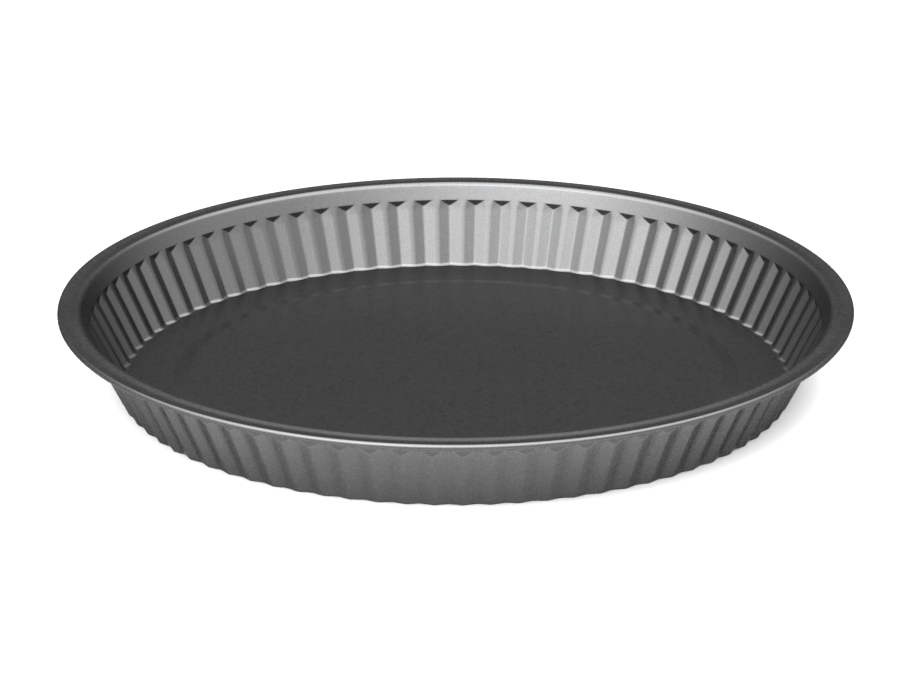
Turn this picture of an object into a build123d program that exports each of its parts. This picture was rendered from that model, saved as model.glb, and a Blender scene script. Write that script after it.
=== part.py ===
from build123d import *
import os
from math import cos, sin, tan, radians

# Round fluted tart pan with a loose base: a pressed ring with its rim rolled round a wire,
# and a lift-out disc lying on the ring's inward lip.
# Frame: +Z up, origin on the ground plane at the centre of the pan, back of the pan at +Y.

os.makedirs("parts", exist_ok=True)

# ---------------------------------------------------------------- driving dimensions (mm, degrees)
outer_d = 300.0            # over the rolled bead
sheet_t = 0.6              # steel sheet
flutes = 80                # V grooves pressed outwards around the wall
flute_shift = -0.234       # groove nearest +Y stands this many pitches towards +X

wall_angle = 26.3          # wall lean from vertical
foot_r = 126.5             # wall's outer face between the grooves, carried down to the ground plane
foot_bend = 2.0            # inner radius of the bend from wall to lip
lip_inner_r = 114.0        # hole that the loose base is pushed up through
flange_z = 31.8            # flange top where it leaves the wall, before the bend
dip_r = 145.8              # shallow dip between that bend and the bead
dip_z = 31.3
dip_bend = 9.0             # upper-face radius of the dip
flange_bend = 2.2          # upper-face radius of the bend from wall to flange

bead_r = 1.1               # outside radius of the rolled bead
bead_z = 30.45              # height of the bead's centre
bead_start = 94.8          # where the flange runs on to the bead, up from outwards
bead_turn = 285.0          # how far the edge is rolled round the wire
wire_gap = 0.04            # radial gap between the curl and its wire

groove_top_z = 25.25        # where the grooves run out into the plain band
groove_full_z = 22.85       # where they reach full depth below it
groove_depth = 1.2        # how far a groove stands out from the wall, measured level
groove_width_top = 9.0     # width of a groove at the wall, at the top
groove_width_foot = 8.6    # the same at the foot
crest_width = 0.5          # flat along the bottom of a groove

base_clear = 1.35          # radial gap between the loose base and the wall at lip level
plateau_r = 101.5          # raised centre of the base: edge of its flat top
plateau_foot_r = 107.5     # where its sloping side meets the flat margin
plateau_rise = 1.0         # rise of the centre above the margin

# ---------------------------------------------------------------- derived
slope = tan(radians(wall_angle))
t_wall = sheet_t / cos(radians(wall_angle))      # level thickness of the leaning wall
bead_c = outer_d / 2 - bead_r                    # radius of the bead's centre line
curl_in = bead_r - sheet_t                       # inside radius of the curl
wire_r = curl_in - wire_gap
bead_end = bead_start - bead_turn
first_groove = 90 - flute_shift * 360 / flutes


def wall_out(z):
    """Radius of the wall's outer face at height z, between the grooves."""
    return foot_r + slope * z


def wall_in(z):
    """Radius of the wall's inner face at height z, between the grooves."""
    return foot_r - t_wall + slope * z


def on_bead(radius, angle):
    """Point of a circle about the bead's centre; the angle is up from outwards."""
    return (bead_c + radius * cos(radians(angle)), bead_z + radius * sin(radians(angle)))


# the sheet's upper face runs lip, wall, flange, bead; its lower face lies sheet_t below
bead_top = on_bead(bead_r, bead_start)
bead_top_in = on_bead(curl_in, bead_start)
flange_corner = (wall_in(flange_z), flange_z)
dip = (dip_r, dip_z)
run, rise = bead_top[0] - dip[0], bead_top[1] - dip[1]
fall = (dip[1] - flange_corner[1]) / (dip[0] - flange_corner[0])
under_edge = bead_top_in                         # the flange ends on the curl's own edge
tilt = rise / run
under_dip = (dip_r, under_edge[1] + tilt * (dip_r - under_edge[0]))
under_z = (under_dip[1] + fall * (foot_r - under_dip[0])) / (1 - fall * slope)
under_corner = (wall_out(under_z), under_z)
lip_corner = (wall_in(sheet_t), sheet_t)
foot_corner = (foot_r, 0)


def near(sketch, point):
    """The sketch's vertex at a given point."""
    return [v for v in sketch.vertices() if abs(v.X - point[0]) < 1e-3 and abs(v.Y - point[1]) < 1e-3]


# ---------------------------------------------------------------- one groove and the bulge behind it, standing at +X
def wedge_outline(face_r, depth, width, back):
    """Level section of a groove: narrow flat bottom, straight flanks carried `back` inside the wall face."""
    wide = width * (depth + back) / depth - crest_width * back / depth
    with BuildLine() as outline:
        Polyline(
            (face_r - back, -wide / 2),
            (face_r + depth, -crest_width / 2),
            (face_r + depth, crest_width / 2),
            (face_r - back, wide / 2),
            close=True,
        )
    return outline.line


full_drop = groove_top_z - groove_full_z
full_step = groove_depth - slope * full_drop     # how far the end facet moves out over that drop

with BuildPart() as groove:
    for z, width in ((sheet_t, groove_width_foot), (groove_top_z + 2.0, groove_width_top)):
        with BuildSketch(Plane.XY.offset(z)):
            add(wedge_outline(wall_in(z), groove_depth, width, 0.8))
            make_face()
    loft(ruled=True)
    end_facet = Plane(
        origin=(wall_in(groove_top_z), 0, groove_top_z),
        x_dir=(0, 1, 0),
        z_dir=(full_drop, 0, full_step),
    )
    split(bisect_by=end_facet, keep=Keep.BOTTOM)

with BuildPart() as bulge:
    for z, width in ((0, groove_width_foot), (groove_top_z + 2.0, groove_width_top)):
        with BuildSketch(Plane.XY.offset(z)):
            add(wedge_outline(wall_out(z), groove_depth, width, 0.35))
            make_face()
    loft(ruled=True)
    outer_facet = Plane(
        origin=(wall_in(groove_top_z) + sheet_t, 0, groove_top_z),
        x_dir=(0, 1, 0),
        z_dir=(full_drop, 0, full_step),
    )
    split(bisect_by=outer_facet, keep=Keep.BOTTOM)

# ---------------------------------------------------------------- fluted ring
with BuildPart() as fluted_ring:
    with BuildSketch(Plane.XZ) as section:
        with BuildLine():
            Polyline(
                bead_top,
                dip,
                flange_corner,
                lip_corner,
                (lip_inner_r, sheet_t),
                (lip_inner_r, 0),
                foot_corner,
                under_corner,
                under_dip,
                under_edge,
                close=True,
            )
        make_face()
        fillet(near(section, flange_corner), flange_bend)
        fillet(near(section, dip), dip_bend)
        fillet(near(section, under_dip), dip_bend + sheet_t)
        fillet(near(section, under_corner), flange_bend - sheet_t)
        fillet(near(section, lip_corner), foot_bend)
        fillet(near(section, foot_corner), foot_bend + sheet_t)
        # edge of the flange rolled down and round the wire
        with BuildLine():
            CenterArc((bead_c, bead_z), bead_r, bead_start, -bead_turn)
            Line(on_bead(bead_r, bead_end), on_bead(curl_in, bead_end))
            CenterArc((bead_c, bead_z), curl_in, bead_end, bead_turn)
            Line(bead_top_in, bead_top)
        make_face()
    revolve(axis=Axis.Z)
    with PolarLocations(0, flutes, start_angle=first_groove):
        add(bulge.part)
    with PolarLocations(0, flutes, start_angle=first_groove):
        add(groove.part, mode=Mode.SUBTRACT)
fluted_ring.part.label = "fluted_ring"
export_step(fluted_ring.part, "parts/fluted_ring.step")

# ---------------------------------------------------------------- loose base, lying on the lip
base_r = wall_in(sheet_t) - base_clear
with BuildPart() as loose_base:
    with BuildSketch(Plane.XZ) as base_section:
        with BuildLine():
            Polyline(
                (0, 2 * sheet_t + plateau_rise),
                (plateau_r, 2 * sheet_t + plateau_rise),
                (plateau_foot_r, 2 * sheet_t),
                (base_r, 2 * sheet_t),
                (base_r, sheet_t),
                (plateau_foot_r - 0.05, sheet_t),
                (plateau_r - 0.05, sheet_t + plateau_rise),
                (0, sheet_t + plateau_rise),
                close=True,
            )
        make_face()
        fillet([v for v in base_section.vertices() if plateau_r - 1 < v.X < plateau_foot_r + 1], 2.5)
        fillet([v for v in base_section.vertices() if abs(v.X - base_r) < 1e-3], 0.2)
    revolve(axis=Axis.Z)
loose_base.part.label = "loose_base"
export_step(loose_base.part, "parts/loose_base.step")

# ---------------------------------------------------------------- wire inside the bead
with BuildPart() as rim_wire:
    with BuildSketch(Plane.XZ):
        with Locations((bead_c, bead_z)):
            Circle(wire_r)
    revolve(axis=Axis.Z)
rim_wire.part.label = "rim_wire"
export_step(rim_wire.part, "parts/rim_wire.step")
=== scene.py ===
"""Tart pan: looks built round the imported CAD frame. Metres, +Z up, back of the pan at +Y."""

import math

import bmesh
import bpy
import numpy as np
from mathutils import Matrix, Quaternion, Vector


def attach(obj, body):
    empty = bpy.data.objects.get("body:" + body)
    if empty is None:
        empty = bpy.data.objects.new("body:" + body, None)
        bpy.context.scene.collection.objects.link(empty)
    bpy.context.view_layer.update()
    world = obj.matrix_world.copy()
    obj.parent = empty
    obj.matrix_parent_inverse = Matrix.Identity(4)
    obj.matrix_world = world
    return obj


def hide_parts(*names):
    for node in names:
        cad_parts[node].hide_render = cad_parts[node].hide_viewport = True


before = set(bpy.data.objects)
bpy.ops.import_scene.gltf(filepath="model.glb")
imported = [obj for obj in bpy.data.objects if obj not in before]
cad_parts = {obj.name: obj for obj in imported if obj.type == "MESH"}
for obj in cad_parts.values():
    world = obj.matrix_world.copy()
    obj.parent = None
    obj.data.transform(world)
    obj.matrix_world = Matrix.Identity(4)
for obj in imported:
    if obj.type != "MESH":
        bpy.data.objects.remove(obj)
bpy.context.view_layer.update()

MM = 0.001

# ---------------------------------------------------------------- dimensions of the frame, mm
SHEET = 0.6
FLUTES = 80
SHIFT = -0.234
LEAN = math.radians(26.3)
SLOPE = math.tan(LEAN)
FOOT_OUT = 126.5
FOOT_IN = FOOT_OUT - SHEET / math.cos(LEAN)
FOOT_BEND = 2.0
LIP_R = 114.0
FLANGE_Z = 31.8
FLANGE_BEND = 2.2
DIP_R, DIP_Z, DIP_BEND = 145.8, 31.3, 9.0
BEAD_R, BEAD_C, BEAD_Z = 1.1, 148.9, 30.45
BEAD_START, BEAD_TURN = 94.8, 285.0
TOP_Z = 25.25               # grooves run out into the plain band
TOP_DROP = 2.4              # and are full depth this far below
DEPTH = 1.2
WIDE, NARROW = 0.86, 0.70   # groove width as a fraction of the pitch: along the wall, and at its very top
BASE_CLEAR = 1.35


def wall_in(z):
    return FOOT_IN + SLOPE * z


def wall_out(z):
    return FOOT_OUT + SLOPE * z


# ---------------------------------------------------------------- mesh helpers
def smooth_corner(pts, radii, steps):
    """Rounds the inner vertices of an open (r, z) polyline; every corner gives the same number of points."""
    out = [np.array(pts[0], float)]
    for i in range(1, len(pts) - 1):
        a, b, c = (np.array(p, float) for p in pts[i - 1:i + 2])
        u, v = a - b, c - b
        lu, lv = np.linalg.norm(u), np.linalg.norm(v)
        u, v = u / lu, v / lv
        half = math.acos(max(-1.0, min(1.0, float(u @ v)))) / 2
        if radii[i] <= 0 or half > math.pi / 2 - 1e-4:
            out += [b.copy() for _ in range(steps[i] + 1)] if steps[i] else [b]
            continue
        cut = min(radii[i] / math.tan(half), 0.48 * lu, 0.48 * lv)
        rad = cut * math.tan(half)
        mid = (u + v) / np.linalg.norm(u + v)
        centre = b + mid * rad / math.sin(half)
        p0, p1 = b + u * cut, b + v * cut
        a0 = math.atan2(*(p0 - centre)[::-1])
        a1 = math.atan2(*(p1 - centre)[::-1])
        d = (a1 - a0 + math.pi) % (2 * math.pi) - math.pi
        n = steps[i]
        out += [centre + rad * np.array((math.cos(a0 + d * k / n), math.sin(a0 + d * k / n))) for k in range(n + 1)]
    out.append(np.array(pts[-1], float))
    return out


def subdivide(points, marks):
    """Adds evenly spaced points into the spans that marks names as {index: pieces}."""
    out = []
    for i, p in enumerate(points):
        out.append(p)
        n = marks.get(i, 0)
        if n and i + 1 < len(points):
            out += [p + (points[i + 1] - p) * k / n for k in range(1, n)]
    return out


def grid_mesh(name, columns, closed_section=True):
    """Closed sweep: columns[azimuth][section point] = (x, y, z) in mm."""
    cols, rows = columns.shape[0], columns.shape[1]
    verts = (columns.reshape(-1, 3) * MM)
    i = np.arange(cols)
    j = np.arange(rows if closed_section else rows - 1)
    a = (i[:, None] * rows + j[None]).ravel()
    b = (i[:, None] * rows + (j[None] + 1) % rows).ravel()
    c = (((i[:, None] + 1) % cols) * rows + (j[None] + 1) % rows).ravel()
    d = (((i[:, None] + 1) % cols) * rows + j[None]).ravel()
    me = bpy.data.meshes.new(name)
    me.from_pydata(verts.tolist(), [], np.stack([a, b, c, d], 1).tolist())
    me.validate()
    bm = bmesh.new()
    bm.from_mesh(me)
    bmesh.ops.remove_doubles(bm, verts=bm.verts, dist=2e-7)
    bmesh.ops.recalc_face_normals(bm, faces=bm.faces)
    bm.to_mesh(me)
    bm.free()
    me.shade_smooth()
    ob = bpy.data.objects.new(name, me)
    bpy.context.scene.collection.objects.link(ob)
    return ob


# ---------------------------------------------------------------- fluted ring
def groove_press(u):
    """How far the sheet is pressed outwards, 0 to 1, at u half-widths from the groove's middle."""
    u = abs(u)
    blend_in, blend_out = 0.12, 0.11
    if u < blend_in:                                   # rounded groove bottom
        return 1 - blend_in / 2 - u * u / (2 * blend_in)
    if u < 1 - blend_out:
        return 1 - u
    if u < 1 + blend_out:                              # rounded on to the land
        w = 1 + blend_out - u
        return w * w / (4 * blend_out)
    return 0.0


def groove_width(z):
    t = max(0.0, min(1.0, (z - 21.6) / (TOP_Z - 21.6)))
    return WIDE + (NARROW - WIDE) * t * t * (3 - 2 * t)


def soft_min(a, b, k):
    h = max(k - abs(a - b), 0.0) / k
    return min(a, b) - h * h * k / 4


def press(u, z, top):
    """Outward displacement of the sheet at u half-pitches from the groove's middle and height z."""
    flank = DEPTH * groove_press(u / groove_width(z))
    facet = (top - z) * DEPTH / TOP_DROP
    d = soft_min(flank, facet, 0.16)
    return -soft_min(-d, 0.0, 0.12) if flank > 0 else 0.0


def wall_heights(u, z0, top):
    """Heights to sample the wall at; they crowd round the crease where the groove's flank meets its end facet."""
    ze = top - TOP_DROP
    for _ in range(20):
        ze = 0.5 * ze + 0.5 * (top - TOP_DROP * groove_press(u / groove_width(ze)))
    s = max(0.03, min(1.0, (top - ze) / 0.9))
    zs = list(np.linspace(z0, 20.6, 8)) + list(np.linspace(20.6, ze - 0.4, 7))[1:]
    zs += [ze - 0.22, ze - 0.1, ze, ze + 0.1 * s, ze + 0.22 * s, ze + 0.36 * s]
    zs += list(np.linspace(ze + 0.36 * s, top - 0.25 * s, 4))[1:] + [top - 0.12 * s, top, top + 0.1, top + 0.25]
    return zs


def ring_section(u):
    """Closed (r, z) outline of the sheet at u half-pitches from a groove's middle."""
    foot = DEPTH * groove_press(u / WIDE)
    bead = [
        (BEAD_C + BEAD_R * math.cos(math.radians(a)), BEAD_Z + BEAD_R * math.sin(math.radians(a)))
        for a in np.linspace(BEAD_START, BEAD_START - BEAD_TURN, 34)
    ]
    curl = [
        (BEAD_C + (BEAD_R - SHEET) * math.cos(math.radians(a)), BEAD_Z + (BEAD_R - SHEET) * math.sin(math.radians(a)))
        for a in np.linspace(BEAD_START - BEAD_TURN, BEAD_START, 20)
    ]
    top, edge = bead[0], curl[-1]
    # upper and inner face, from the lip's edge to the bead
    lip = smooth_corner([(LIP_R, SHEET), (wall_in(SHEET) + foot, SHEET), (wall_in(8) + foot, 8)], [0, FOOT_BEND, 0], [0, 9, 0])
    lip = subdivide(lip, {0: 4})[:-1]
    wall = [np.array((wall_in(z) + press(u, z, TOP_Z), z)) for z in wall_heights(u, lip[-1][1], TOP_Z)[1:]]
    rim = smooth_corner(
        [wall[-1], (wall_in(FLANGE_Z), FLANGE_Z), (DIP_R, DIP_Z), top],
        [0, FLANGE_BEND, DIP_BEND, 0],
        [0, 12, 6, 0],
    )
    rim = subdivide(rim, {0: 4, 13: 3})[1:-1]
    # lower and outer face, from the curl back to the lip
    tilt = (top[1] - DIP_Z) / (top[0] - DIP_R)
    fall = (DIP_Z - FLANGE_Z) / (DIP_R - wall_in(FLANGE_Z))
    ud = (DIP_R, edge[1] + tilt * (DIP_R - edge[0]))
    uz = (ud[1] + fall * (FOOT_OUT - ud[0])) / (1 - fall * SLOPE)
    under = smooth_corner(
        [edge, ud, (wall_out(uz), uz), (wall_out(26.5), 26.5)],
        [0, DIP_BEND + SHEET, FLANGE_BEND - SHEET, 0],
        [0, 6, 8, 0],
    )
    under = subdivide(under, {7: 3})[:-1]
    foot_line = smooth_corner([(wall_out(8) + foot, 8), (FOOT_OUT + foot, 0.0), (LIP_R, 0.0)], [0, 1.2, 0], [0, 6, 0])
    foot_line = subdivide(foot_line, {7: 3})[1:]
    out_top = TOP_Z - 0.3
    outer = [
        np.array((wall_out(z) + press(u, z, out_top), z))
        for z in wall_heights(u, foot_line[0][1], out_top)[1:]
    ][::-1]
    pts = lip + wall + rim + [np.array(b) for b in bead] + [np.array(c) for c in curl[:-1]] + under + outer + foot_line
    return np.array([tuple(q) for q in pts])


def build_ring():
    pitch = 2 * math.pi / FLUTES
    marks = np.concatenate([
        np.linspace(0, 0.12, 4, endpoint=False),
        np.linspace(0.12, 0.60, 5, endpoint=False),
        np.linspace(0.60, 0.98, 9, endpoint=False),
        [1.0],
    ])
    us = sorted({round(-m, 9) for m in marks if m < 0.9999} | {round(float(m), 9) for m in marks})
    sections = [ring_section(u) for u in us]
    cols = []
    for k in range(FLUTES):
        for u, sec in zip(us, sections):
            az = math.radians(90) - pitch * (k + SHIFT + u / 2)
            cols.append(np.stack([sec[:, 0] * math.cos(az), sec[:, 0] * math.sin(az), sec[:, 1]], 1))
    return grid_mesh("pan_ring", np.array(cols))


# ---------------------------------------------------------------- loose base
def build_base():
    base_r = wall_in(SHEET) - BASE_CLEAR
    top = smooth_corner(
        [(0.0, 2.2), (101.5, 2.2), (107.5, 1.2), (base_r, 1.2), (base_r, 0.601)],
        [0, 2.5, 2.5, 0.2, 0],
        [0, 8, 8, 4, 0],
    )
    low = smooth_corner(
        [(base_r, 0.601), (107.45, 0.601), (101.45, 1.6), (0.0, 1.6)],
        [0, 2.5, 2.5, 0],
        [0, 8, 8, 0],
    )
    top = subdivide(top, {0: 40, 9: 3, 18: 8})
    low = subdivide(low, {0: 8, 9: 3, 18: 40})
    sec = np.array([tuple(p) for p in top[1:]] + [tuple(p) for p in low[1:-1]])
    n = 480
    bm = bmesh.new()
    rings = []
    for r, z in sec:
        rings.append([bm.verts.new((r * math.cos(2 * math.pi * k / n) * MM, r * math.sin(2 * math.pi * k / n) * MM, z * MM)) for k in range(n)])
    for a, b in zip(rings, rings[1:]):
        for k in range(n):
            bm.faces.new((a[k], b[k], b[(k + 1) % n], a[(k + 1) % n]))
    for z, ring in ((2.2, rings[0]), (1.6, rings[-1])):
        c = bm.verts.new((0, 0, z * MM))
        for k in range(n):
            bm.faces.new((c, ring[k], ring[(k + 1) % n]))
    bmesh.ops.recalc_face_normals(bm, faces=bm.faces)
    me = bpy.data.meshes.new("pan_base")
    bm.to_mesh(me)
    bm.free()
    me.shade_smooth()
    ob = bpy.data.objects.new("pan_base", me)
    bpy.context.scene.collection.objects.link(ob)
    return ob


ring = build_ring()
base = build_base()
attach(ring, "ring")
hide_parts("fluted_ring")
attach(base, "base")
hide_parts("loose_base")
for ob in (ring, base):
    wn = ob.modifiers.new("weighted", "WEIGHTED_NORMAL")
    wn.keep_sharp = True
    wn.weight = 50


# ---------------------------------------------------------------- materials
def nonstick(name, colour, rough, edge=0.35, flake=0.022, wave=0.00003, flake_size=2600.0, cloud=1.0):
    """Dark metallic non-stick coating: metallic pigment in a semi-gloss film, with fine flake and faint orange peel."""
    m = bpy.data.materials.new(name)
    m.use_nodes = True
    nt = m.node_tree
    n, l = nt.nodes, nt.links
    n.clear()
    out = n.new("ShaderNodeOutputMaterial")
    b = n.new("ShaderNodeBsdfPrincipled")
    l.new(b.outputs[0], out.inputs[0])
    co = n.new("ShaderNodeTexCoord")

    def noise(scale, detail=2.0, rough_=0.5):
        t = n.new("ShaderNodeTexNoise")
        t.inputs["Scale"].default_value = scale
        t.inputs["Detail"].default_value = detail
        t.inputs["Roughness"].default_value = rough_
        l.new(co.outputs["Object"], t.inputs["Vector"])
        return t

    def ramp(src, lo, hi):
        r = n.new("ShaderNodeMapRange")
        r.inputs["From Min"].default_value = 0.25
        r.inputs["From Max"].default_value = 0.75
        r.inputs["To Min"].default_value = lo
        r.inputs["To Max"].default_value = hi
        l.new(src, r.inputs["Value"])
        return r.outputs[0]

    fine = noise(flake_size, 1.0)
    mid = noise(650.0, 3.0, 0.6)
    broad = noise(28.0, 3.0, 0.55)

    # pigment: fine flake over slow cloudiness
    mix = n.new("ShaderNodeMix")
    mix.data_type = "RGBA"
    lo = [c * 0.80 for c in colour]
    hi = [min(1.0, c * 1.20) for c in colour]
    mix.inputs[6].default_value = (*lo, 1)
    mix.inputs[7].default_value = (*hi, 1)
    add = n.new("ShaderNodeMath")
    add.operation = "ADD"
    l.new(ramp(fine.outputs["Fac"], 0.0, 0.72), add.inputs[0])
    l.new(ramp(broad.outputs["Fac"], 0.14 - 0.14 * cloud, 0.14 + 0.14 * cloud), add.inputs[1])
    l.new(add.outputs[0], mix.inputs[0])
    l.new(mix.outputs[2], b.inputs["Base Color"])

    rr = n.new("ShaderNodeMath")
    rr.operation = "ADD"
    l.new(ramp(mid.outputs["Fac"], rough - 0.035, rough + 0.035), rr.inputs[0])
    l.new(ramp(broad.outputs["Fac"], -0.02 * cloud, 0.02 * cloud), rr.inputs[1])
    l.new(rr.outputs[0], b.inputs["Roughness"])
    b.inputs["Metallic"].default_value = 0.95
    b.inputs["Specular IOR Level"].default_value = 0.4
    b.inputs["Specular Tint"].default_value = (edge, edge, edge, 1)   # pigment in a dark film darkens the glancing gloss
    b.inputs["Coat Weight"].default_value = 0.06
    b.inputs["Coat Roughness"].default_value = 0.22

    bump1 = n.new("ShaderNodeBump")
    bump1.inputs["Strength"].default_value = 0.35
    bump1.inputs["Distance"].default_value = flake * MM
    l.new(fine.outputs["Fac"], bump1.inputs["Height"])
    bump2 = n.new("ShaderNodeBump")
    bump2.inputs["Strength"].default_value = 0.5
    bump2.inputs["Distance"].default_value = wave
    l.new(noise(190.0, 2.0).outputs["Fac"], bump2.inputs["Height"])
    l.new(bump1.outputs[0], bump2.inputs["Normal"])
    l.new(bump2.outputs[0], b.inputs["Normal"])
    return m


def drawn_steel(name):
    m = bpy.data.materials.new(name)
    m.use_nodes = True
    nt = m.node_tree
    n, l = nt.nodes, nt.links
    n.clear()
    out = n.new("ShaderNodeOutputMaterial")
    b = n.new("ShaderNodeBsdfPrincipled")
    l.new(b.outputs[0], out.inputs[0])
    co = n.new("ShaderNodeTexCoord")
    t = n.new("ShaderNodeTexNoise")
    t.inputs["Scale"].default_value = 900.0
    t.inputs["Detail"].default_value = 4.0
    l.new(co.outputs["Object"], t.inputs["Vector"])
    r = n.new("ShaderNodeMapRange")
    r.inputs["To Min"].default_value = 0.26
    r.inputs["To Max"].default_value = 0.42
    l.new(t.outputs["Fac"], r.inputs["Value"])
    l.new(r.outputs[0], b.inputs["Roughness"])
    c = n.new("ShaderNodeMix")
    c.data_type = "RGBA"
    c.inputs[6].default_value = (0.50, 0.50, 0.51, 1)
    c.inputs[7].default_value = (0.62, 0.62, 0.63, 1)
    l.new(t.outputs["Fac"], c.inputs[0])
    l.new(c.outputs[2], b.inputs["Base Color"])
    b.inputs["Metallic"].default_value = 1.0
    bu = n.new("ShaderNodeBump")
    bu.inputs["Strength"].default_value = 0.3
    bu.inputs["Distance"].default_value = 0.00001
    l.new(t.outputs["Fac"], bu.inputs["Height"])
    l.new(bu.outputs[0], b.inputs["Normal"])
    return m


mat_ring = nonstick("nonstick_ring", (0.096, 0.0965, 0.0978), 0.27, flake=0.016, cloud=0.5)
mat_base = nonstick("nonstick_base", (0.068, 0.0685, 0.0695), 0.29, flake=0.009, cloud=0.12)
ring.data.materials.append(mat_ring)
base.data.materials.append(mat_base)
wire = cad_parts["rim_wire"]
steel = drawn_steel("wire_steel")
if wire.data.materials:
    for i in range(len(wire.material_slots)):
        wire.material_slots[i].material = steel
else:
    wire.data.materials.append(steel)


# ---------------------------------------------------------------- stage: floor, lights, camera
def plane(name, size, loc):
    me = bpy.data.meshes.new(name)
    s = size / 2
    me.from_pydata([(-s, -s, 0), (s, -s, 0), (s, s, 0), (-s, s, 0)], [], [(0, 1, 2, 3)])
    ob = bpy.data.objects.new(name, me)
    ob.location = loc
    bpy.context.scene.collection.objects.link(ob)
    return ob


floor = plane("floor", 14.0, (0, 0, -0.00005))
fm = bpy.data.materials.new("floor_white")
fm.use_nodes = True
fb = fm.node_tree.nodes["Principled BSDF"]
# painted light: the floor colour is lightest round the pan, where it is most shaded, painting out the pan's shadow so
# that the sheet reads evenly white
f_n, f_l = fm.node_tree.nodes, fm.node_tree.links
f_co = f_n.new("ShaderNodeTexCoord")
f_len = f_n.new("ShaderNodeVectorMath")
f_len.operation = "LENGTH"
f_l.new(f_co.outputs["Object"], f_len.inputs[0])
f_map = f_n.new("ShaderNodeMapRange")
f_map.interpolation_type = "SMOOTHSTEP"
f_map.inputs["From Min"].default_value = 0.125
f_map.inputs["From Max"].default_value = 0.205
f_map.inputs["To Min"].default_value = 0.82
f_map.inputs["To Max"].default_value = 0.27
f_l.new(f_len.outputs["Value"], f_map.inputs["Value"])
f_l.new(f_map.outputs[0], fb.inputs["Base Color"])
fb.inputs["Roughness"].default_value = 0.9
fb.inputs["Specular IOR Level"].default_value = 0.05
floor.data.materials.append(fm)


def area(name, az, el, dist, size, power, target=(0, 0, 0.015), spread=180.0):
    """Area lamp seen from the pan at azimuth az (0 = towards the camera, + = camera's right) and elevation el."""
    a, e = math.radians(az), math.radians(el)
    d = Vector((math.sin(a) * math.cos(e), -math.cos(a) * math.cos(e), math.sin(e)))
    lamp = bpy.data.lights.new(name, "AREA")
    lamp.shape = "RECTANGLE"
    lamp.size, lamp.size_y = size
    lamp.energy = power
    lamp.spread = math.radians(spread)
    ob = bpy.data.objects.new(name, lamp)
    ob.location = Vector(target) + d * dist
    ob.rotation_euler = (-d).to_track_quat("-Z", "Y").to_euler()
    bpy.context.scene.collection.objects.link(ob)
    return ob


area("soft_key", -30, 58, 2.4, (1.6, 1.6), 6)

world = bpy.data.worlds.new("studio")
bpy.context.scene.world = world
world.use_nodes = True
wn_, wl = world.node_tree.nodes, world.node_tree.links
wn_.clear()
w_out = wn_.new("ShaderNodeOutputWorld")
bg = wn_.new("ShaderNodeBackground")
wl.new(bg.outputs[0], w_out.inputs[0])
where = wn_.new("ShaderNodeTexCoord")


def lobe(az, el, amount, tight):
    """A broad soft patch of light in the dome, brightest towards (az, el)."""
    a, e = math.radians(az), math.radians(el)
    dot = wn_.new("ShaderNodeVectorMath")
    dot.operation = "DOT_PRODUCT"
    wl.new(where.outputs["Generated"], dot.inputs[0])
    dot.inputs[1].default_value = (math.sin(a) * math.cos(e), -math.cos(a) * math.cos(e), math.sin(e))
    lin = wn_.new("ShaderNodeMath")
    lin.operation = "MULTIPLY_ADD"
    wl.new(dot.outputs["Value"], lin.inputs[0])
    lin.inputs[1].default_value = tight
    lin.inputs[2].default_value = -tight
    ex = wn_.new("ShaderNodeMath")
    ex.operation = "EXPONENT"
    wl.new(lin.outputs[0], ex.inputs[0])
    mul = wn_.new("ShaderNodeMath")
    mul.operation = "MULTIPLY"
    wl.new(ex.outputs[0], mul.inputs[0])
    mul.inputs[1].default_value = amount
    return mul.outputs[0]


def overhead(amount, low, high, lean):
    """A wide overhead diffuser: full strength above `high`, gone below `low` (cosines from its axis)."""
    dot = wn_.new("ShaderNodeVectorMath")
    dot.operation = "DOT_PRODUCT"
    wl.new(where.outputs["Generated"], dot.inputs[0])
    dot.inputs[1].default_value = (0.0, -math.sin(math.radians(lean)), math.cos(math.radians(lean)))
    r = wn_.new("ShaderNodeMapRange")
    r.interpolation_type = "SMOOTHSTEP"
    r.inputs["From Min"].default_value = low
    r.inputs["From Max"].default_value = high
    r.inputs["To Min"].default_value = 0.0
    r.inputs["To Max"].default_value = amount
    wl.new(dot.outputs["Value"], r.inputs["Value"])
    return r.outputs[0]


DOME = ((-48, 37, 4.5, 4.2), (0, 38, 2.2, 4.2), (84, 25, 1.5, 5.0))
total = overhead(5.0, 0.46, 0.88, 0.0)
for az_, el_, amount_, tight_ in DOME:
    plus = wn_.new("ShaderNodeMath")
    plus.operation = "ADD"
    wl.new(total, plus.inputs[0])
    wl.new(lobe(az_, el_, amount_, tight_), plus.inputs[1])
    total = plus.outputs[0]
plus = wn_.new("ShaderNodeMath")
plus.operation = "ADD"
wl.new(total, plus.inputs[0])
plus.inputs[1].default_value = 0.25
wl.new(plus.outputs[0], bg.inputs["Strength"])
bg.inputs["Color"].default_value = (1.0, 1.0, 1.0, 1)

# camera
CAM_EL = math.radians(20.30)
CAM_DIST = 1.4192
TARGET_Z = 0.01376
cam_data = bpy.data.cameras.new("camera")
cam = bpy.data.objects.new("camera", cam_data)
bpy.context.scene.collection.objects.link(cam)
cam.location = (0, -CAM_DIST * math.cos(CAM_EL), TARGET_Z + CAM_DIST * math.sin(CAM_EL))
cam.rotation_mode = "QUATERNION"
q = (Vector((0, 0, TARGET_Z)) - cam.location).to_track_quat("-Z", "Y")
cam.rotation_quaternion = q @ Quaternion((0, 0, 1), -0.0018)
cam_data.sensor_fit = "HORIZONTAL"
cam_data.sensor_width = 36.0
cam_data.lens = 3738.58 / 912 * 36.0
cam_data.clip_start, cam_data.clip_end = 0.05, 60
cam_data.shift_x = (456.0 - 455.709) / 912
bpy.context.scene.camera = cam
bpy.context.scene.view_settings.view_transform = "Standard"
bpy.context.scene.view_settings.look = "None"
